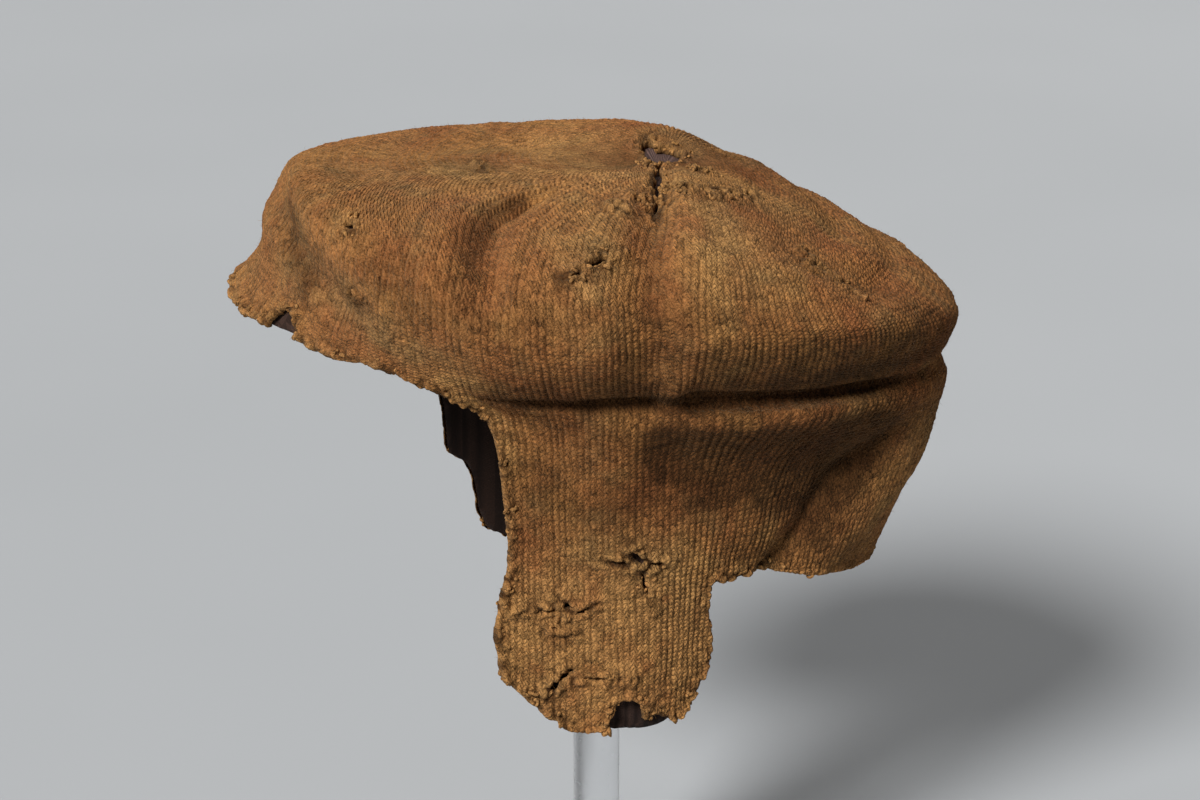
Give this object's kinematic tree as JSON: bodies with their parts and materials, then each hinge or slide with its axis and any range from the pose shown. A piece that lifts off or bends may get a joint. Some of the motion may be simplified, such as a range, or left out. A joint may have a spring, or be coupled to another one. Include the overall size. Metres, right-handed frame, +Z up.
{
  "type": "earflap cap on a plain stand",
  "caption": "Old knitted wool earflap cap with a full crown, short peak and neck flap, ribbed lining and moth holes, on a plain round post and base.",
  "frame": {"origin": "the middle of the stand's base where it rests on the table", "axes": "+Z up along the stand's post; the wearer would look along -Y, and the wearer's left is +X"},
  "size_m": [0.2149, 0.2862, 0.3394],
  "materials": {
    "wool": "matte fulled knitting",
    "lining": "matte ribbed cloth",
    "foam": "matte felt over foam",
    "stand": "satin"
  },
  "bodies": {
    "root": {"knit_cap": "wool", "lining": "lining", "crown_pad": "foam", "stand_base": "stand", "stand_post": "stand"}
  },
  "joints": []
}
